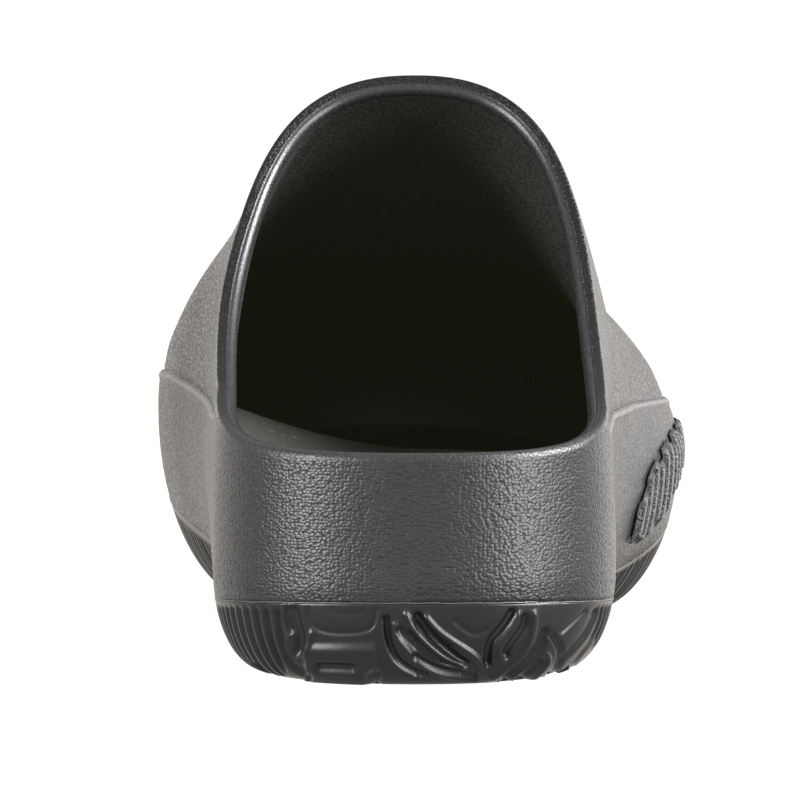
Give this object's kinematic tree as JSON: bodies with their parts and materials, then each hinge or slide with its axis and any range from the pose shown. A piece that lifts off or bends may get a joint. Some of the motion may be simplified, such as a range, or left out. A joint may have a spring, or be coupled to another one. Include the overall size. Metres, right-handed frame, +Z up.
{
  "type": "clog",
  "caption": "Right-foot slip-on clog in moulded foam: rounded hollow vamp, high sloping collar, low heel wall, ribbed tread sides and a cupped bed.",
  "frame": {"origin": "centre of the bounding box, on the ground", "axes": "+X to the outer side of the right foot, +Y from heel to toe, +Z up"},
  "size_m": [0.121, 0.297, 0.1227],
  "materials": {
    "upper": "pebbled grain, satin",
    "sole": "smooth, semi-gloss",
    "insole": "fine grain, matt",
    "side_patch": "ribbed, satin"
  },
  "bodies": {
    "root": {"upper": "upper", "sole": "sole", "insole": "insole", "side_patch": "side_patch"}
  },
  "joints": []
}
